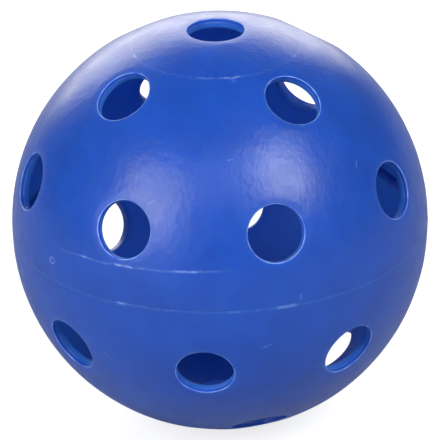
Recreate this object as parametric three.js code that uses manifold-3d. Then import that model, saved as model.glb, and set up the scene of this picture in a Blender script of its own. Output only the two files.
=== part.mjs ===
// Perforated play ball: two moulded half shells joined by a weld round the equator.
// Millimetres and degrees, +Z up through the polar holes, origin at the ball's centre.

import * as THREE from 'three';
import { mergeVertices } from 'three/addons/utils/BufferGeometryUtils.js';
import Module from 'manifold-3d';

const wasm = await Module();
wasm.setup();

// ---------- driving dimensions ----------

const DOME_RADIUS = 36;          // outside of each half's dome
const WALL = 2.0;                // wall thickness of the shells
const RIM_BAND = 0.2;            // straight band between a half's dome and its rim
const WELD_THICKNESS = 0.3;      // melted and set plastic between the two rims

const MOUTH_RADIUS = 5.0;        // hole at the outside
const THROAT_RADIUS = 4.75;      // hole at the inside, less by the mould pin's draft
const LAND_WIDTH = 0.4;          // flat ring round each mouth, where the mould shut off
const LAND_SINK = 0.05;          // how far the land lies below its own edge circle

const POLAR_HOLE = { count: 1, colatitude: 0, firstAzimuth: 0 };
const NEAR_RING = { count: 4, colatitude: 34.8, firstAzimuth: 0 };
const FAR_RING = { count: 8, colatitude: 69.9, firstAzimuth: 22.5 };
const HALVES_TURN = 21.5;        // angle between the hole patterns of the two halves

const BEAD_DEPTH = 0.9;          // inside weld bead, inwards from the wall
const BEAD_HALF_HEIGHT = 0.8;
const BEAD_CLEARANCE = 0.3;      // from the bead's shoulders to the shells' inside
const FLASH_DEPTH = 0.12;        // trimmed weld flash, outwards from the rims

// ---------- facets ----------

const OUTSIDE_FACETS = { round: 48, up: 12 };
const INSIDE_FACETS = { round: 32, up: 8 };
const HOLE_FACETS = 16;
const OVERCUT = 2;               // how far a cutter runs past what it cuts

const degrees = THREE.MathUtils.degToRad;

// ---------- solids from geometries ----------

function toSolid(geometry) {
  geometry.deleteAttribute('normal');
  geometry.deleteAttribute('uv');
  const merged = mergeVertices(geometry);
  const corners = merged.index.array;
  const triangles = [];
  for (let i = 0; i < corners.length; i += 3) {
    const [a, b, c] = [corners[i], corners[i + 1], corners[i + 2]];
    // a revolved quad that touches the axis leaves one collapsed triangle
    if (a !== b && b !== c && c !== a) triangles.push(a, b, c);
  }
  const mesh = new wasm.Mesh({
    numProp: 3,
    vertProperties: merged.attributes.position.array,
    triVerts: new Uint32Array(triangles),
  });
  return new wasm.Manifold(mesh);
}

function toGeometry(solid) {
  const mesh = solid.getMesh();
  const geometry = new THREE.BufferGeometry();
  geometry.setAttribute('position', new THREE.BufferAttribute(mesh.vertProperties, 3));
  geometry.setIndex(new THREE.BufferAttribute(mesh.triVerts, 1));
  geometry.computeVertexNormals();
  return geometry;
}

// Revolves a profile of [radius, height] points, given anticlockwise, about +Z.
function revolve(profile, facetsRound) {
  const points = profile.map(([radius, height]) => new THREE.Vector2(radius, height));
  const geometry = new THREE.LatheGeometry(points, facetsRound);
  geometry.rotateX(Math.PI / 2);
  return geometry;
}

// ---------- half shell ----------

// A filled dome with its centre at the origin, on a straight band that reaches down.
function dome(radius, band, facets) {
  const profile = [[0, -band], [radius, -band]];
  for (let i = 0; i <= facets.up; i += 1) {
    const latitude = (Math.PI / 2) * (i / facets.up);
    profile.push([radius * Math.cos(latitude), radius * Math.sin(latitude)]);
  }
  return toSolid(revolve(profile, facets.round));
}

// Height at which a circle of this radius lies on a sphere.
function heightOnSphere(sphereRadius, circleRadius) {
  return Math.sqrt(sphereRadius ** 2 - circleRadius ** 2);
}

// What one mould pin keeps open, at the pole: a tapered hole under a flat land.
function holeCutter() {
  const landRadius = MOUTH_RADIUS + LAND_WIDTH;
  const landHeight = heightOnSphere(DOME_RADIUS, landRadius) - LAND_SINK;
  const throatHeight = heightOnSphere(DOME_RADIUS - WALL, THROAT_RADIUS);
  const profile = [
    [0, throatHeight - OVERCUT],
    [THROAT_RADIUS, throatHeight - OVERCUT],
    [THROAT_RADIUS, throatHeight],
    [MOUTH_RADIUS, landHeight],
    [landRadius + OVERCUT, landHeight],
    [landRadius + OVERCUT, DOME_RADIUS + OVERCUT],
    [0, DOME_RADIUS + OVERCUT],
  ];
  return revolve(profile, HOLE_FACETS);
}

function halfShell() {
  const inside = dome(DOME_RADIUS - WALL, RIM_BAND + OVERCUT, INSIDE_FACETS);
  let shell = dome(DOME_RADIUS, RIM_BAND, OUTSIDE_FACETS).subtract(inside);
  for (const ring of [POLAR_HOLE, NEAR_RING, FAR_RING]) {
    for (let i = 0; i < ring.count; i += 1) {
      const cutter = holeCutter();
      cutter.rotateY(degrees(ring.colatitude));
      cutter.rotateZ(degrees(ring.firstAzimuth + (360 / ring.count) * i));
      shell = shell.subtract(toSolid(cutter));
    }
  }
  return toGeometry(shell);
}

// ---------- weld ----------

// One ring: a web between the rims, a fat bead inside and a low trimmed flash outside.
function weldSeam() {
  const web = WELD_THICKNESS / 2;
  const wallInside = DOME_RADIUS - WALL;
  const shoulder = wallInside - BEAD_CLEARANCE;
  const beadTip = wallInside - BEAD_DEPTH;
  const flashTip = DOME_RADIUS + FLASH_DEPTH;
  const profile = [
    [beadTip, -BEAD_HALF_HEIGHT / 2],
    [shoulder, -BEAD_HALF_HEIGHT],
    [shoulder, -web],
    [DOME_RADIUS, -web],
    [flashTip, -web / 2],
    [flashTip, web / 2],
    [DOME_RADIUS, web],
    [shoulder, web],
    [shoulder, BEAD_HALF_HEIGHT],
    [beadTip, BEAD_HALF_HEIGHT / 2],
    [beadTip, -BEAD_HALF_HEIGHT / 2],
  ];
  return toGeometry(toSolid(revolve(profile, OUTSIDE_FACETS.round)));
}

// ---------- the ball ----------

function namedMesh(name, geometry, color) {
  const material = new THREE.MeshStandardMaterial({ color, roughness: 0.42, metalness: 0 });
  const mesh = new THREE.Mesh(geometry, material);
  mesh.name = name;
  return mesh;
}

const SHELL_BLUE = 0x2552be;
const WELD_BLUE = 0x3a66c8;

const shell = halfShell();
const domeOffset = WELD_THICKNESS / 2 + RIM_BAND;

const upperHalfShell = namedMesh('upper_half_shell', shell, SHELL_BLUE);
upperHalfShell.position.z = domeOffset;
const upperHalf = new THREE.Group();
upperHalf.rotation.z = degrees(HALVES_TURN / 2);
upperHalf.add(upperHalfShell);

// The same moulding, turned over.
const lowerHalfShell = namedMesh('lower_half_shell', shell, SHELL_BLUE);
lowerHalfShell.rotation.x = Math.PI;
lowerHalfShell.position.z = -domeOffset;
const lowerHalf = new THREE.Group();
lowerHalf.rotation.z = degrees(-HALVES_TURN / 2);
lowerHalf.add(lowerHalfShell);

const ball = new THREE.Group();
ball.add(upperHalf, lowerHalf, namedMesh('weld_seam', weldSeam(), WELD_BLUE));

export default ball;
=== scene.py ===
"""Looks of the perforated play ball: two moulded half shells and the weld between them.

Lengths are millimetres until a mesh is made, and metres in the scene. Angles are degrees.
The two halves are one moulding, built once and turned over, as they are in the CAD.
"""

import math

import bpy
import numpy as np
from mathutils import Matrix, Vector, noise
from mathutils.geometry import delaunay_2d_cdt

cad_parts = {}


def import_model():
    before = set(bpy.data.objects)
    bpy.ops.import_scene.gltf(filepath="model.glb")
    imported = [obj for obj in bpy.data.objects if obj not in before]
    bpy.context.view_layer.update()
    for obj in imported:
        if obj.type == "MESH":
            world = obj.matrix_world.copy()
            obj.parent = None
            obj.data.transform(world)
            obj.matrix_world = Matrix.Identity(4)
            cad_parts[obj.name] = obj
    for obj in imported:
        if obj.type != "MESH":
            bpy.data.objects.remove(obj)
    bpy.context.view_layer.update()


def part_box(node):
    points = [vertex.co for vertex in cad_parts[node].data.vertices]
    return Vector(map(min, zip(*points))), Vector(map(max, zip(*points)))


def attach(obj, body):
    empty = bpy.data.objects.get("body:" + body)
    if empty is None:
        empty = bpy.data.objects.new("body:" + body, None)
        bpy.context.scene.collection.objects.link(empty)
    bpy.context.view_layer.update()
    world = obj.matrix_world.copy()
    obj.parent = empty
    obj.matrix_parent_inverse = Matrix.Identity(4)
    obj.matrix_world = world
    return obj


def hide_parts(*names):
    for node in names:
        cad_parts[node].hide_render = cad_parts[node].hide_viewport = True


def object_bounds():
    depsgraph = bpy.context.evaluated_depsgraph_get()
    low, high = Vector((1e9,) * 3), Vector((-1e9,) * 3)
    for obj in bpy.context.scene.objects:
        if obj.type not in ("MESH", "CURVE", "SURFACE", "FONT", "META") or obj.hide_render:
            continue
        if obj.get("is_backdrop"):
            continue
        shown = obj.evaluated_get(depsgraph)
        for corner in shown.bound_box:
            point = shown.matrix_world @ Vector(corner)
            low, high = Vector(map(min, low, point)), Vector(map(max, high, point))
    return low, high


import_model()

MM = 0.001

# ---------- driving dimensions, as in the CAD ----------

DOME_RADIUS = 36.0
WALL = 2.0
RIM_BAND = 0.2
HALVES_TURN = 21.5          # angle between the hole patterns of the two halves
HOLE_RINGS = (              # number of holes, colatitude, first azimuth
    (1, 0.0, 0.0),
    (4, 34.8, 0.0),
    (8, 69.9, 22.5),
)
RIM_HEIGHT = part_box("upper_half_shell")[0].z / MM
DOME_OFFSET = RIM_HEIGHT + RIM_BAND

# ---------- the hole's rounded section ----------

HOLE_RADIUS = 5.12          # where the rounding leaves the outer surface
OUTER_ROUND = 0.3           # depth of the rounding at the mouth
OUTER_ROUND_ROWS = 5
WAIST_RADIUS = 4.88         # the straight part of the wall
FLASH_RADIUS = 4.83         # crest of the thin line where the mould closed
FLASH_HALF_WIDTH = 0.13
WAIST_ABOVE_FLASH = 0.4     # to the last row of the straight wall above the flash
WAIST_BELOW_FLASH = 0.3
INSIDE_RADIUS = 5.55        # where the rounding meets the inner surface
INNER_ROUND = 0.85          # depth of the rounding at the inner end
INNER_ROUND_ROWS = 4
INNER_SPREAD = 3.0          # how far from the mouth the inner surface makes room for the rounding
SHOULDER_WIDTH = 1.1        # the outer surface sinks a little towards each hole
SHOULDER_DEPTH = 0.07
MOUTH_GLINT = 1.0            # how pale the painted highlight on the mouth's rounded edge is, against a mould line
MOUTH_GLINT_ROWS = 2
FLASH_LINE = 0.7            # how pale the flash is
MOUTH_GLOW = 0.8            # painted glow on the wall's first row, less by a step on each row after it
MOUTH_GLOW_STEP = 0.2
SKIN_GLOW = ((0.6, 0.25), (0.25, 0.9))      # painted glow on the outer surface round a hole: strength and reach
PALE_AFTER_ROW = 4          # from here down the wall takes on the painted glow of the inside
PALE_ROWS = 12
HOLE_ANGLE = math.asin(HOLE_RADIUS / DOME_RADIUS)
INSIDE_ANGLE = math.asin(INSIDE_RADIUS / (DOME_RADIUS - WALL))

# ---------- marks of the mould, in the moulding's own azimuths ----------

CAMERA_AZIMUTH = -27.95
CAMERA_SIDE = 270 + CAMERA_AZIMUTH                 # the ball's azimuth that faces the camera
FACING = CAMERA_SIDE - HALVES_TURN / 2             # the same in the moulding's own azimuths

INSERT_LINE_COLATITUDE = 23.8
INSERT_LINE_FAINT = 0.16
INSERT_LINE_BITS = (        # azimuth from the one that faces the camera, half length, strength
    (-72, 3.0, 1.0),
    (-8, 7.0, 0.6),
    (10, 10.0, 0.9),
    (66, 3.0, 0.8),
    (160, 12.0, 0.7),
)
PARTING_LINE_COLATITUDE = 79.6
PARTING_LINE_DRIFT = -0.033     # degrees of colatitude per degree round, from the line's middle
PARTING_LINE_BITS = (
    (-40.5, 1.2, 0.9),
    (-27.5, 3.6, 1.0),
    (-9.5, 3.8, 1.0),
)
PARTING_LINE_FAINT = (-25.0, 30.0, 0.3)
LINE_HEIGHT = 0.05
LINE_HALF_WIDTH = 0.15
LINE_WANDER = 0.2               # slow drift to either side
LINE_RAGGEDNESS = 0.14          # quick drift to either side

GATE_COLATITUDE = 85.0
GATE_AZIMUTH = FACING - 52.8
GATE_RADIUS = 0.5
GATE_DEPTH = 0.03
GATE_LIP_HEIGHT = 0.03
GATE_LIP_OFFSET = 0.06          # from the dish's edge to the crest of its lip
GATE_LIP_HALF_WIDTH = 0.08
GATE_LINE = 0.8                 # how pale the lip is

WELD_BITS = (                   # turn from the camera's azimuth, half length, strength
    (-28, 1.5, 0.9),
    (17.5, 3.2, 1.0),
    (3, 2.0, 0.6),
)
FLASH_HEIGHT = 0.1              # of the weld's flash where it stands out most
FLASH_SHOWS = 0.45              # prominence from which the flash looks pale
BEAD_UNEVENNESS = 0.12

# ---------- the moulding's slow waves: height and size ----------

SLOW_WAVE = (0.05, 9.0)
QUICK_WAVE = (0.014, 3.5)
UPPER_SEED = 0
LOWER_SEED = 17
INNER_SURFACE_SEED = 40         # added for the inner surface

# ---------- how pale the inside is near each pole, and from where it changes, in degrees ----------

UPPER_POLE_SHARE = 1.0
# painted shade: the lower half's inside stays darker near its pole, where the ball sits on the floor
LOWER_POLE_SHARE = 0.2
POLE_SHARE_START = 30
POLE_SHARE_SPAN = 30

# ---------- mesh density ----------

HOLE_SIDES = 72
RIM_SIDES = 300
WELD_SIDES = 720
GATE_SIDES = 20
HOLE_CLEARANCE = 0.2        # from a hole's outline to the nearest other vertex
LINE_STEPS = 110
PITCH = 0.95                # between vertices of the plain surface
ROW_SPACING = 0.87          # between its rows, as a share of the pitch
LINE_ROW_OFFSETS = (0.0, -0.12, 0.12, -0.24, 0.24, -0.38, 0.38)
GATE_ROW_RADII = (0.2, 0.36, 0.46, 0.56, 0.66, 0.85)
SHOULDER_ROWS = ((5.4, 72), (5.75, 72), (6.15, 66), (6.7, 54))      # radius, number of vertices
RIM_ROW_HEIGHTS = (0.5, 1.1)


# ---------- directions on the sphere ----------


def direction(colatitude, azimuth):
    """Unit vector at a colatitude and azimuth, in degrees."""
    tilt, turn = math.radians(colatitude), math.radians(azimuth)
    return np.array([math.sin(tilt) * math.cos(turn), math.sin(tilt) * math.sin(turn), math.cos(tilt)])


def axes_across(axis):
    """Two unit vectors at right angles to an axis and to each other, in a right-handed order."""
    helper = np.array([1.0, 0.0, 0.0]) if abs(axis[2]) > 0.9 else np.array([0.0, 0.0, 1.0])
    first = np.cross(helper, axis)
    first /= np.linalg.norm(first)
    return first, np.cross(axis, first)


def circle_about(axis, angle, count):
    """Directions at an angle (radians) from an axis, evenly round it."""
    first, second = axes_across(axis)
    turns = np.arange(count) * (2 * math.pi / count)
    across = np.outer(np.cos(turns), first) + np.outer(np.sin(turns), second)
    return math.cos(angle) * axis + math.sin(angle) * across


def row_at(colatitude, pitch, phase=0.0):
    """Directions all round one parallel, about pitch millimetres apart."""
    length = math.radians(360.0) * DOME_RADIUS * math.sin(math.radians(colatitude))
    count = max(1, round(length / pitch))
    return [direction(colatitude, 360.0 * (i + phase) / count) for i in range(count)]


def thinned(points, placed, gap):
    """The directions that lie at least gap millimetres from all those already placed."""
    limit = math.cos(gap / DOME_RADIUS)
    kept = []
    for block in np.array_split(points, max(1, len(points) // 400)):
        kept.append(block[(block @ placed.T).max(axis=1) < limit])
    return np.concatenate(kept)


def parting_colatitude(turn):
    """Colatitude of the parting line at a turn from the azimuth that faces the camera."""
    return PARTING_LINE_COLATITUDE + PARTING_LINE_DRIFT * (turn - PARTING_LINE_FAINT[0])


HOLE_AXES = [
    direction(colatitude, first + 360 / count * i)
    for count, colatitude, first in HOLE_RINGS
    for i in range(count)
]
GATE_AXIS = direction(GATE_COLATITUDE, GATE_AZIMUTH)


def points_on_dome():
    """Directions of all the vertices of the outer surface: the hole outlines first, then the rim."""
    outlines = [circle_about(axis, HOLE_ANGLE, HOLE_SIDES) for axis in HOLE_AXES]
    rim = np.array([direction(90, 360 / RIM_SIDES * i) for i in range(RIM_SIDES)])
    placed = np.concatenate(outlines + [rim])

    clear = math.cos(HOLE_ANGLE + HOLE_CLEARANCE / DOME_RADIUS)

    def add(points, gap):
        """Places the directions that are clear of the holes and a gap away from those placed."""
        nonlocal placed
        points = np.array(points)
        points = points[(points @ np.array(HOLE_AXES).T).max(axis=1) < clear]
        placed = np.concatenate([placed, thinned(points, placed, gap)])

    degrees_per_mm = math.degrees(1 / DOME_RADIUS)
    middle, half, _ = PARTING_LINE_FAINT
    turns = np.linspace(middle - half, middle + half, LINE_STEPS)
    for offset in LINE_ROW_OFFSETS:
        aside = offset * degrees_per_mm
        add(row_at(INSERT_LINE_COLATITUDE + aside, 0.6), 0.1)
        add([direction(parting_colatitude(turn) + aside, FACING + turn) for turn in turns], 0.1)
    for radius in GATE_ROW_RADII:
        add(circle_about(GATE_AXIS, radius / DOME_RADIUS, GATE_SIDES), 0.07)
    for axis in HOLE_AXES:
        for radius, count in SHOULDER_ROWS:
            add(circle_about(axis, math.asin(radius / DOME_RADIUS), count), 0.27)
    for height in RIM_ROW_HEIGHTS:
        add(row_at(90 - height * degrees_per_mm, 0.8, phase=0.5), 0.4)
    rows = int(90 / (PITCH * ROW_SPACING * degrees_per_mm))
    for i in range(1, rows):
        add(row_at(90 * i / rows, PITCH, phase=0.5 * (i % 2) + 0.13 * i), 0.6)
    return placed


def spherical_triangles(points):
    """Delaunay triangles of directions in the upper hemisphere, from their stereographic map."""
    spread = 100.0          # keeps the map large against the triangulation's tolerance
    flat = [Vector((x, y)) * (spread / (1 + z)) for x, y, z in points]
    outlines = []
    for hole in range(len(HOLE_AXES)):
        first = hole * HOLE_SIDES
        outlines += [(first + i, first + (i + 1) % HOLE_SIDES) for i in range(HOLE_SIDES)]
    made, _, faces, origins, _, _ = delaunay_2d_cdt(flat, outlines, [], 0, 1e-6)
    source = [min(o) if o else None for o in origins]
    if None in source or len(made) != len(points):
        raise RuntimeError("the triangulation added or merged points")
    triangles = np.array([[source[i] for i in face] for face in faces])
    middles = points[triangles].mean(axis=1)
    middles /= np.linalg.norm(middles, axis=1)[:, None]
    in_hole = (middles @ np.array(HOLE_AXES).T).max(axis=1) > math.cos(HOLE_ANGLE)
    return triangles[~in_hole]


# ---------- relief of the outer surface ----------


def azimuth_from(u, azimuth):
    """How far round a direction lies from an azimuth, from -180 to 180."""
    own = math.degrees(math.atan2(u[1], u[0]))
    return (own - azimuth + 180) % 360 - 180


def along_bits(turn, bits):
    """Strength of a broken line at a turn from the camera's azimuth."""
    strength = 0.0
    for middle, half, height in bits:
        reach = abs(turn - middle) / half
        strength = max(strength, height * min(1.0, max(0.0, 3 * (1 - reach))))
    return strength


def line_prominence(u):
    """0 to 1, how much of a mould line's ridge stands at a direction."""
    colatitude = math.degrees(math.acos(max(-1.0, min(1.0, u[2]))))
    turn = azimuth_from(u, FACING)
    broken = 0.65 + 0.7 * noise.noise(Vector(u) * 60)
    wander = LINE_WANDER * noise.noise(Vector((math.radians(turn) * 9, 0, 4)))
    wander += LINE_RAGGEDNESS * noise.noise(Vector((math.radians(turn) * 60, 0, 2)))
    best = 0.0
    for line, faint, bits in (
        (INSERT_LINE_COLATITUDE, INSERT_LINE_FAINT, INSERT_LINE_BITS),
        (parting_colatitude(turn), along_bits(turn, [PARTING_LINE_FAINT]), PARTING_LINE_BITS),
    ):
        away = (math.radians(colatitude - line) * DOME_RADIUS - wander) / LINE_HALF_WIDTH
        strength = max(faint, along_bits(turn, bits)) * broken
        best = max(best, strength * math.exp(-away * away))
    return best


def angle_to(u, axis):
    """Angle between two unit vectors, in radians."""
    return math.acos(max(-1.0, min(1.0, float(np.dot(u, axis)))))


def gate_relief(u):
    """Height of the round gate mark: a shallow dish with a low lip."""
    away = angle_to(u, GATE_AXIS) * DOME_RADIUS
    dish = -GATE_DEPTH if away < GATE_RADIUS else 0.0
    return dish + GATE_LIP_HEIGHT * gate_lip(away)


def gate_lip(away):
    """1 on the gate mark's lip, fading to 0 beside it."""
    return math.exp(-(((away - GATE_RADIUS - GATE_LIP_OFFSET) / GATE_LIP_HALF_WIDTH) ** 2))


def unevenness(u, seed):
    """Slow waves left by the plastic's shrinkage."""
    place = Vector(u) * DOME_RADIUS + Vector((seed, 2 * seed, 0))
    (slow, slow_size), (quick, quick_size) = SLOW_WAVE, QUICK_WAVE
    return slow * noise.noise(place / slow_size) + quick * noise.noise(place / quick_size)


def smooth_mesh(name, vertices, faces, attributes):
    """A smoothly shaded mesh, in metres, with attributes of one number per vertex."""
    mesh = bpy.data.meshes.new(name)
    mesh.from_pydata(vertices, [], faces)
    for label, values in attributes.items():
        attribute = mesh.attributes.new(label, "FLOAT", "POINT")
        attribute.data.foreach_set("value", np.array(values, np.float32))
    mesh.validate()
    mesh.shade_smooth()
    return mesh


# ---------- half shell ----------


def hole_section():
    """Rows of the hole's wall, from just under the outer surface to just above the inner one.

    Each row is a radius, a height along the hole's axis, and what share of the outer surface's
    unevenness it follows.
    """
    top = math.sqrt(DOME_RADIUS ** 2 - HOLE_RADIUS ** 2)
    bottom = math.sqrt((DOME_RADIUS - WALL) ** 2 - INSIDE_RADIUS ** 2)
    rows = []
    for i in range(1, OUTER_ROUND_ROWS + 1):
        turn = math.radians(90 * i / OUTER_ROUND_ROWS)
        radius = HOLE_RADIUS - (HOLE_RADIUS - WAIST_RADIUS) * math.sin(turn)
        rows.append((radius, top - OUTER_ROUND * (1 - math.cos(turn)), 1 - i / (OUTER_ROUND_ROWS + 1)))
    middle = (top - OUTER_ROUND + bottom + INNER_ROUND) / 2
    rows.append((WAIST_RADIUS, middle + WAIST_ABOVE_FLASH, 0))
    rows.append((WAIST_RADIUS, middle + FLASH_HALF_WIDTH, 0))
    rows.append((FLASH_RADIUS, middle, 0))
    rows.append((WAIST_RADIUS, middle - FLASH_HALF_WIDTH, 0))
    rows.append((WAIST_RADIUS, middle - WAIST_BELOW_FLASH, 0))
    for i in range(INNER_ROUND_ROWS):
        turn = math.radians(90 * i / INNER_ROUND_ROWS)
        radius = WAIST_RADIUS + (INSIDE_RADIUS - WAIST_RADIUS) * (1 - math.cos(turn))
        rows.append((radius, bottom + INNER_ROUND * (1 - math.sin(turn)), 0))
    return rows


def half_shell_mesh(name, seed, pole_share):
    """One moulding, dome up, with its centre at the origin.

    It carries three attributes for its material: edge, a painted glow round the holes; ridge, the
    mould lines, the gate's lip, the flash and a painted highlight on each mouth; and inside. The
    inside is painted paler, where light soaks through the wall, and by only the pole share near the
    pole, which leaves painted shade inside the lower half near its pole.
    """
    points = DOME_POINTS
    count = len(points)
    cosines = points @ np.array(HOLE_AXES).T
    hole_reach = np.arccos(np.clip(cosines.max(axis=1), -1, 1))
    nearest_axis = np.array(HOLE_AXES)[cosines.argmax(axis=1)]
    past_edge = (hole_reach - HOLE_ANGLE) * DOME_RADIUS
    sunk = np.clip(1 - past_edge / SHOULDER_WIDTH, 0, 1)
    sunk = SHOULDER_DEPTH * sunk * sunk * (3 - 2 * sunk)
    ridge = [line_prominence(u) for u in points]
    heights = [
        unevenness(u, seed) + gate_relief(u) + LINE_HEIGHT * r - low
        for u, r, low in zip(points, ridge, sunk)
    ]
    vertices = [u * (DOME_RADIUS + h) for u, h in zip(points, heights)]
    widened = np.clip(1 - past_edge / INNER_SPREAD, 0, 1) ** 2 * (INSIDE_ANGLE - HOLE_ANGLE)
    for u, axis, reach, more in zip(points, nearest_axis, hole_reach, widened):
        if more > 0:
            outwards = u - axis * math.cos(reach)
            outwards /= np.linalg.norm(outwards)
            u = math.cos(reach + more) * axis + math.sin(reach + more) * outwards
        vertices.append(u * (DOME_RADIUS - WALL + unevenness(u, seed + INNER_SURFACE_SEED)))
    for i, u in enumerate(points):
        lip = gate_lip(angle_to(u, GATE_AXIS) * DOME_RADIUS)
        ridge[i] = max(ridge[i], GATE_LINE * lip)
    # painted glow on the outer surface round each hole, from light coming through the thin plastic
    # there
    edge_glow = sum(strength * np.exp(-past_edge / reach) for strength, reach in SKIN_GLOW)
    edge = list(edge_glow) + [0.0] * count
    ridge += [0.0] * count
    colatitudes = np.degrees(np.arccos(np.clip(points[:, 2], -1, 1)))
    from_pole = np.clip((colatitudes - POLE_SHARE_START) / POLE_SHARE_SPAN, 0, 1)
    # painted glow of the inside, with painted shade near the lower pole
    inside = [0.0] * count + list(pole_share + (1 - pole_share) * from_pole)
    faces = [tuple(t) for t in DOME_TRIANGLES]
    faces += [(c + count, b + count, a + count) for a, b, c in DOME_TRIANGLES]

    def strip(upper, lower):
        """Quads between two rings of vertex numbers, facing to the left of the way round."""
        for i in range(len(upper)):
            after = (i + 1) % len(upper)
            faces.append((upper[i], upper[after], lower[after], lower[i]))

    section = hole_section()
    for hole, axis in enumerate(HOLE_AXES):
        first, second = axes_across(axis)
        ring = [hole * HOLE_SIDES + i for i in range(HOLE_SIDES)]
        inner_ring = [i + count for i in ring]
        turns = [2 * math.pi / HOLE_SIDES * i for i in range(HOLE_SIDES)]
        above = ring
        for row, (radius, height, share) in enumerate(section):
            here = []
            for i, turn in zip(ring, turns):
                rough = 0.6 + 0.8 * noise.noise(Vector(axis * 7 + points[i] * 30))
                reach = radius
                if radius == FLASH_RADIUS:
                    reach = WAIST_RADIUS - (WAIST_RADIUS - FLASH_RADIUS) * rough
                across = math.cos(turn) * first + math.sin(turn) * second
                here.append(len(vertices))
                vertices.append(axis * (height + share * heights[i]) + across * reach)
                # painted glow on the hole's wall, strongest on its first row
                edge.append(max(0.0, MOUTH_GLOW - row * MOUTH_GLOW_STEP))
                # the flash line is pale; the first rows of the mouth carry a painted highlight
                if radius == FLASH_RADIUS:
                    ridge.append(FLASH_LINE * rough)
                else:
                    ridge.append(MOUTH_GLINT * rough if row < MOUTH_GLINT_ROWS else 0.0)
                # painted glow on the lower part of the wall, as on the inside
                inside.append(max(0.0, row - PALE_AFTER_ROW) / PALE_ROWS)
            strip(above, here)
            above = here
        strip(above, inner_ring)

    rim = [len(HOLE_AXES) * HOLE_SIDES + i for i in range(RIM_SIDES)]
    above = rim
    for radius, height in (     # down over the rim's outer edge, across it, and up its inner edge
        (DOME_RADIUS, -0.13),
        (DOME_RADIUS - 0.015, -0.18),
        (DOME_RADIUS - 0.05, -RIM_BAND),
        (DOME_RADIUS - WALL + 0.05, -RIM_BAND),
        (DOME_RADIUS - WALL, -0.13),
    ):
        here = []
        for i in range(RIM_SIDES):
            turn = 2 * math.pi / RIM_SIDES * i
            here.append(len(vertices))
            vertices.append(np.array([radius * math.cos(turn), radius * math.sin(turn), height]))
            edge.append(0.0)
            ridge.append(0.0)
            inside.append(0.0)
        strip(here, above)
        above = here
    strip([i + count for i in rim], above)

    vertices = [Vector(vertex) * MM for vertex in vertices]
    faces = [list(map(int, face)) for face in faces]
    return smooth_mesh(name, vertices, faces, {"edge": edge, "ridge": ridge, "inside": inside})


# ---------- weld ----------


def weld_mesh(name):
    """One closed ring: the web between the rims, the bead inside, and trimmed flash outside."""
    below = (               # radius, height, what share of the flash's prominence it follows
        (33.1, -0.35, 0), (33.35, -0.66, 0), (33.7, -0.78, 0), (33.78, -0.5, 0),
        (33.85, -RIM_HEIGHT, 0), (35.9, -RIM_HEIGHT, 0), (35.94, -0.36, 0.1), (35.985, -0.27, 0.3),
        (36.0, -0.17, 0.55), (36.0, -0.06, 1.0),
    )
    above = tuple((radius, -height, share) for radius, height, share in reversed(below))
    section = below + above
    bead_ends = 33.5        # the bead is what lies inside this radius
    vertices, ridge, faces = [], [], []
    for i in range(WELD_SIDES):
        turn = 2 * math.pi / WELD_SIDES * i
        u = Vector((math.cos(turn), math.sin(turn), 0))
        facing = (math.degrees(turn) - CAMERA_SIDE + 180) % 360 - 180
        slow = noise.noise(u * 9)
        quick = noise.noise(u * 55 + Vector((0, 0, 5)))
        prominence = 0.22 + 0.4 * slow + 0.6 * quick
        prominence = max(0.0, min(1.0, max(prominence, along_bits(facing, WELD_BITS) + 0.3 * quick)))
        bead = BEAD_UNEVENNESS * noise.noise(u * 14 + Vector((3, 0, 0)))
        for radius, height, share in section:
            reach = radius + share * FLASH_HEIGHT * prominence + (bead if radius < bead_ends else 0)
            wander = 0.03 * noise.noise(u * 30 + Vector((0, 9, 0))) if share else 0
            vertices.append(Vector((u.x * reach, u.y * reach, height + wander)) * MM)
            ridge.append(1.3 * max(0.0, prominence - FLASH_SHOWS) * share)
    points = len(section)
    for i in range(WELD_SIDES):
        here = i * points
        after = (i + 1) % WELD_SIDES * points
        for j in range(points):
            k = (j + 1) % points
            faces.append((here + j, after + j, after + k, here + k))
    return smooth_mesh(name, vertices, faces, {"ridge": ridge})


# ---------- materials ----------

SHELL_COLOR = (0.010, 0.096, 0.545, 1)
SHELL_DEEP = (0.009, 0.083, 0.49, 1)
# painted glow near the hole edges, where light comes through the thin plastic
EDGE_GLOW_COLOR = (0.03, 0.16, 0.66, 1)
# painted glow of light soaking through the wall, on the inside and down the hole walls
INSIDE_GLOW_COLOR = (0.055, 0.29, 0.86, 1)
# pale mould lines and scuffs, and the painted highlight on each hole's mouth
PALE_COLOR = (0.34, 0.50, 0.86, 1)
WELD_COLOR = (0.020, 0.125, 0.60, 1)
WELD_DEEP = (0.016, 0.105, 0.54, 1)

SCUFFS = (                  # colatitude, turn from the camera's azimuth, length, lean, half width
    (61.4, -21.2, 1.6, 35, 0.10),
    (58.2, 49.2, 1.8, 60, 0.09),
    (88.4, 21.7, 1.3, 85, 0.10),
    (49.0, 4.0, 1.2, 10, 0.07),
    (101.0, 12.0, 2.4, 20, 0.07),
    (108.0, -35.0, 1.6, -40, 0.08),
    (75.0, 120.0, 2.6, 30, 0.10),
    (110.0, 170.0, 2.0, -20, 0.10),
    (45.0, -120.0, 2.2, 50, 0.09),
)

MOTTLE_SIZE = 7.0
SCUFF_GRAIN_SIZE = 0.35
SMEAR_SIZE = 3.0
EDGE_GLOW_SHARE = 0.28           # of the painted glow colour where the edge attribute is 1
ROUGHNESS = 0.23            # before smears, marks and the inside add to it
SMEAR_ROUGHNESS = 0.2
MARK_ROUGHNESS = 0.2
INSIDE_ROUGHNESS = 0.25
LEAST_ROUGHNESS = 0.285     # a glossier surface renders patchy
RELIEF = (                  # size, detail, stretch and height of each layer of fine relief
    (0.25, 1, 1, 0.006),
    (0.7, 1, 7, 0.03),
    (1.6, 2, 1, 0.05),
)


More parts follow.
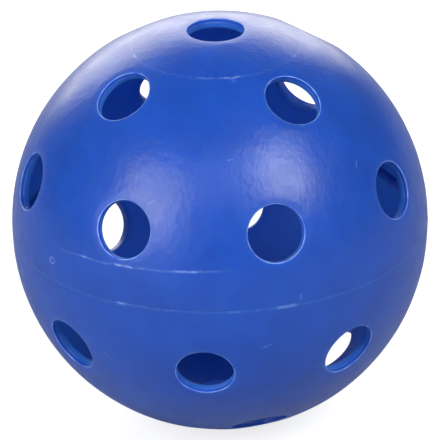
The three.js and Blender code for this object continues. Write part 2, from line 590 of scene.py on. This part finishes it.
def plastic(name, base, deep, pale_share, depth):
    """Satin moulded polyethylene: mottled blue, fine skin, a painted glow on the edges and the inside
    where light comes through the wall, pale mould lines and scuffs, and a painted highlight on each
    hole's mouth.
    """
    material = bpy.data.materials.new(name)
    material.use_nodes = True
    tree = material.node_tree
    nodes, links = tree.nodes, tree.links
    shader = nodes["Principled BSDF"]
    shader.inputs["IOR"].default_value = 1.51
    shader.inputs["Subsurface Weight"].default_value = 1.0
    shader.inputs["Subsurface Radius"].default_value = (0.3, 0.8, 1.6)
    shader.inputs["Subsurface Scale"].default_value = depth * MM

    coordinates = nodes.new("ShaderNodeTexCoord")

    def noise_at(size, detail, stretch=1.0):
        """Noise with patches of a size in millimetres, longer up and down by the stretch."""
        squeezed = nodes.new("ShaderNodeVectorMath")
        squeezed.operation = "MULTIPLY"
        links.new(coordinates.outputs["Object"], squeezed.inputs[0])
        squeezed.inputs[1].default_value = (1, 1, 1 / stretch)
        texture = nodes.new("ShaderNodeTexNoise")
        texture.inputs["Scale"].default_value = 1 / (size * MM)
        texture.inputs["Detail"].default_value = detail
        links.new(squeezed.outputs[0], texture.inputs["Vector"])
        return texture.outputs["Fac"]

    def math_node(operation, first, second=0.0, third=0.0, clamp=False):
        """The result of one sum on sockets or numbers."""
        node = nodes.new("ShaderNodeMath")
        node.operation = operation
        node.use_clamp = clamp
        for socket, value in zip(node.inputs, (first, second, third)):
            if isinstance(value, (int, float)):
                socket.default_value = value
            else:
                links.new(value, socket)
        return node.outputs[0]

    def ranged(value, low, high, to_low, to_high):
        """A value carried from one range to another, and kept inside it."""
        node = nodes.new("ShaderNodeMapRange")
        links.new(value, node.inputs["Value"])
        labels = ("From Min", "From Max", "To Min", "To Max")
        for label, number in zip(labels, (low, high, to_low, to_high)):
            node.inputs[label].default_value = number
        return node.outputs["Result"]

    def attribute(label):
        """One of the mesh's own attributes."""
        node = nodes.new("ShaderNodeAttribute")
        node.attribute_name = label
        return node.outputs["Fac"]

    def mixed(factor, first, second):
        """The first colour at factor 0, the second at factor 1."""
        node = nodes.new("ShaderNodeMix")
        node.data_type = "RGBA"
        links.new(factor, node.inputs["Factor"])
        for label, value in (("A", first), ("B", second)):
            socket = [s for s in node.inputs if s.name == label and s.type == "RGBA"][0]
            if isinstance(value, tuple):
                socket.default_value = value
            else:
                links.new(value, socket)
        return [s for s in node.outputs if s.type == "RGBA"][0]

    def scuff_mask():
        """1 along each scuff, 0 elsewhere: the distance from a short line in space."""
        mask = None
        for colatitude, turn, length, lean, half_width in SCUFFS:
            middle = direction(colatitude, CAMERA_SIDE + turn)
            east = np.cross([0, 0, 1], middle)
            east /= np.linalg.norm(east)
            north = np.cross(middle, east)
            way = math.cos(math.radians(lean)) * east + math.sin(math.radians(lean)) * north
            offset = DOME_OFFSET if colatitude < 90 else -DOME_OFFSET
            centre = middle * DOME_RADIUS + np.array([0, 0, offset])
            away = nodes.new("ShaderNodeVectorMath")
            away.operation = "SUBTRACT"
            links.new(coordinates.outputs["Object"], away.inputs[0])
            away.inputs[1].default_value = centre * MM
            along = nodes.new("ShaderNodeVectorMath")
            along.operation = "DOT_PRODUCT"
            links.new(away.outputs[0], along.inputs[0])
            along.inputs[1].default_value = way
            far = nodes.new("ShaderNodeVectorMath")
            far.operation = "LENGTH"
            links.new(away.outputs[0], far.inputs[0])
            square_far = math_node("POWER", far.outputs["Value"], 2)
            reach = math_node("ABSOLUTE", along.outputs["Value"])
            square_along = math_node("POWER", reach, 2)
            side = math_node("SQRT", math_node("SUBTRACT", square_far, square_along, clamp=True))
            beside = ranged(side, half_width * MM, half_width * MM * 0.3, 0, 1)
            ends = ranged(reach, length * MM / 2, length * MM / 4, 0, 1)
            one = math_node("MULTIPLY", beside, ends)
            mask = one if mask is None else math_node("MAXIMUM", mask, one)
        return mask

    mottle = ranged(noise_at(MOTTLE_SIZE, 3), 0.35, 0.65, 0, 1)
    color = mixed(mottle, deep, base)
    # painted glow round the holes
    edge_glow = math_node("MULTIPLY", attribute("edge"), EDGE_GLOW_SHARE)
    color = mixed(edge_glow, color, EDGE_GLOW_COLOR)
    # painted glow of the inside and the lower hole walls
    color = mixed(attribute("inside"), color, INSIDE_GLOW_COLOR)
    # pale mould lines, gate lip, flash and scuffs, and the painted highlight on each mouth
    line = math_node("MULTIPLY", attribute("ridge"), pale_share, clamp=True)
    grain = ranged(noise_at(SCUFF_GRAIN_SIZE, 2), 0.4, 0.6, 0.35, 1)
    scuffs = math_node("MULTIPLY", scuff_mask(), grain)
    marks = math_node("MAXIMUM", line, scuffs)
    color = mixed(marks, color, PALE_COLOR)
    links.new(color, shader.inputs["Base Color"])

    smears = math_node("MULTIPLY_ADD", noise_at(SMEAR_SIZE, 2), SMEAR_ROUGHNESS, ROUGHNESS)
    rough = math_node("MAXIMUM", smears, LEAST_ROUGHNESS)
    rough = math_node("ADD", rough, math_node("MULTIPLY", marks, MARK_ROUGHNESS))
    rough = math_node("ADD", rough, math_node("MULTIPLY", attribute("inside"), INSIDE_ROUGHNESS))
    links.new(rough, shader.inputs["Roughness"])

    normal = None
    for size, detail, stretch, height in RELIEF:
        bump = nodes.new("ShaderNodeBump")
        bump.inputs["Distance"].default_value = height * MM
        links.new(noise_at(size, detail, stretch), bump.inputs["Height"])
        if normal is not None:
            links.new(normal, bump.inputs["Normal"])
        normal = bump.outputs["Normal"]
    links.new(normal, shader.inputs["Normal"])
    return material


shell_plastic = plastic("shell_plastic", SHELL_COLOR, SHELL_DEEP, 0.9, depth=1.0)
weld_plastic = plastic("weld_plastic", WELD_COLOR, WELD_DEEP, 0.5, depth=0.02)

# ---------- the pieces ----------

DOME_POINTS = points_on_dome()
DOME_TRIANGLES = spherical_triangles(DOME_POINTS)


def piece(name, mesh, matrix, material, node):
    """Makes a piece's object, with its placement baked into the mesh, and hides its CAD node."""
    mesh.transform(matrix)
    mesh.materials.append(material)
    made = bpy.data.objects.new(name, mesh)
    bpy.context.scene.collection.objects.link(made)
    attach(made, "root")
    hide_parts(node)
    return made


lift = Matrix.Translation((0, 0, DOME_OFFSET * MM))
turned_over = Matrix.Rotation(math.pi, 4, "X")
half_turn = math.radians(HALVES_TURN / 2)
piece(
    "upper_shell_skin",
    half_shell_mesh("upper_shell_skin", UPPER_SEED, UPPER_POLE_SHARE),
    Matrix.Rotation(half_turn, 4, "Z") @ lift,
    shell_plastic, "upper_half_shell",
)
piece(
    "lower_shell_skin",
    half_shell_mesh("lower_shell_skin", LOWER_SEED, LOWER_POLE_SHARE),
    Matrix.Rotation(-half_turn, 4, "Z") @ turned_over @ lift,
    shell_plastic, "lower_half_shell",
)
piece("weld_skin", weld_mesh("weld_skin"), Matrix.Identity(4), weld_plastic, "weld_seam")

# ---------- stage, light and camera ----------

FLOOR_HALF_SIZE = 6.0       # metres
FLOOR_GREY = 0.47
FLOOR_GLOW = 0.76           # the floor is near white to the camera and dimmer in reflections
WORLD_RADIANCE = 0.12       # in reflections and as light
WORLD_SEEN_RADIANCE = 0.9   # where the camera looks straight at it

WHITE_LIGHT = (1, 1, 1)
WARM_LIGHT = (1.0, 0.95, 0.84)
SOFTBOXES = (               # name, azimuth, elevation, distance, width, height, radiance, tint
    ("left_box", -44, 27, 0.8, 0.46, 0.52, 5.7, WHITE_LIGHT),
    ("right_box", 47, 41, 0.8, 0.36, 0.40, 8.6, WHITE_LIGHT),
    ("front_box", 3, 46, 0.9, 0.40, 0.40, 1.1, WHITE_LIGHT),
    ("back_box", -174, 17, 1.0, 1.15, 0.62, 4.0, WARM_LIGHT),
)

CAMERA_ELEVATION = 25.5
CAMERA_ROLL = -1.3
CAMERA_DISTANCE = 0.9       # metres
CAMERA_LENS = 424.5         # with a sensor 36 wide


def floor():
    """A plain pale floor under the ball."""
    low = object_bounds()[0].z
    size = FLOOR_HALF_SIZE
    mesh = bpy.data.meshes.new("floor")
    corners = [(-size, -size, low), (size, -size, low), (size, size, low), (-size, size, low)]
    mesh.from_pydata(corners, [], [(0, 1, 2, 3)])
    made = bpy.data.objects.new("floor", mesh)
    bpy.context.scene.collection.objects.link(made)
    material = bpy.data.materials.new("floor_paper")
    material.use_nodes = True
    nodes, links = material.node_tree.nodes, material.node_tree.links
    shader = nodes["Principled BSDF"]
    shader.inputs["Base Color"].default_value = (FLOOR_GREY, FLOOR_GREY, FLOOR_GREY, 1)
    shader.inputs["Roughness"].default_value = 0.9
    shader.inputs["Specular IOR Level"].default_value = 0.1
    shader.inputs["Emission Color"].default_value = (1, 1, 1, 1)
    seen = nodes.new("ShaderNodeLightPath")
    glow = nodes.new("ShaderNodeMath")
    glow.operation = "MULTIPLY"
    glow.inputs[1].default_value = FLOOR_GLOW
    links.new(seen.outputs["Is Camera Ray"], glow.inputs[0])
    links.new(glow.outputs[0], shader.inputs["Emission Strength"])
    made.data.materials.append(material)
    made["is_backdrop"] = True


def toward(azimuth, elevation):
    """Unit vector out from the ball at an azimuth from the camera's, to its right, and elevation."""
    turn, tilt = math.radians(CAMERA_AZIMUTH + azimuth), math.radians(elevation)
    return Vector((math.sin(turn) * math.cos(tilt), -math.cos(turn) * math.cos(tilt), math.sin(tilt)))


def softbox(name, azimuth, elevation, distance, width, height, radiance, tint):
    """An area light that faces the ball. Radiance 1 is as bright as a fully lit white sheet."""
    light = bpy.data.lights.new(name, "AREA")
    light.color = tint
    light.shape = "RECTANGLE"
    light.size, light.size_y = width, height
    light.energy = radiance * math.pi * width * height
    made = bpy.data.objects.new(name, light)
    bpy.context.scene.collection.objects.link(made)
    out = toward(azimuth, elevation)
    made.location = out * distance
    made.rotation_mode = "QUATERNION"
    made.rotation_quaternion = out.to_track_quat("Z", "Y")


def camera():
    """The camera: far off with a long lens, slightly rolled."""
    roll = math.radians(CAMERA_ROLL)
    data = bpy.data.cameras.new("camera")
    data.sensor_width = 36
    data.lens = CAMERA_LENS
    data.clip_start, data.clip_end = 0.05, 50
    made = bpy.data.objects.new("camera", data)
    bpy.context.scene.collection.objects.link(made)
    back = toward(0, CAMERA_ELEVATION)
    right = Vector((0, 0, 1)).cross(back).normalized()
    up = back.cross(right)
    cosine, sine = math.cos(roll), math.sin(roll)
    right, up = cosine * right + sine * up, -sine * right + cosine * up
    placed = Matrix((right, up, back)).transposed().to_4x4()
    placed.translation = back * CAMERA_DISTANCE
    made.matrix_world = placed
    bpy.context.scene.camera = made


def world(radiance, seen_radiance):
    """Even dim surroundings, which are near white where the camera looks straight at them."""
    made = bpy.data.worlds.new("studio")
    made.use_nodes = True
    nodes, links = made.node_tree.nodes, made.node_tree.links
    background = nodes["Background"]
    background.inputs["Color"].default_value = (1, 1, 1, 1)
    seen = nodes.new("ShaderNodeLightPath")
    strength = nodes.new("ShaderNodeMath")
    strength.operation = "MULTIPLY_ADD"
    strength.inputs[1].default_value = seen_radiance - radiance
    strength.inputs[2].default_value = radiance
    links.new(seen.outputs["Is Camera Ray"], strength.inputs[0])
    links.new(strength.outputs[0], background.inputs["Strength"])
    bpy.context.scene.world = made


floor()
world(WORLD_RADIANCE, WORLD_SEEN_RADIANCE)
for name, azimuth, elevation, distance, width, height, radiance, tint in SOFTBOXES:
    softbox(name, azimuth, elevation, distance, width, height, radiance, tint)
camera()
bpy.context.scene.view_settings.view_transform = "Standard"
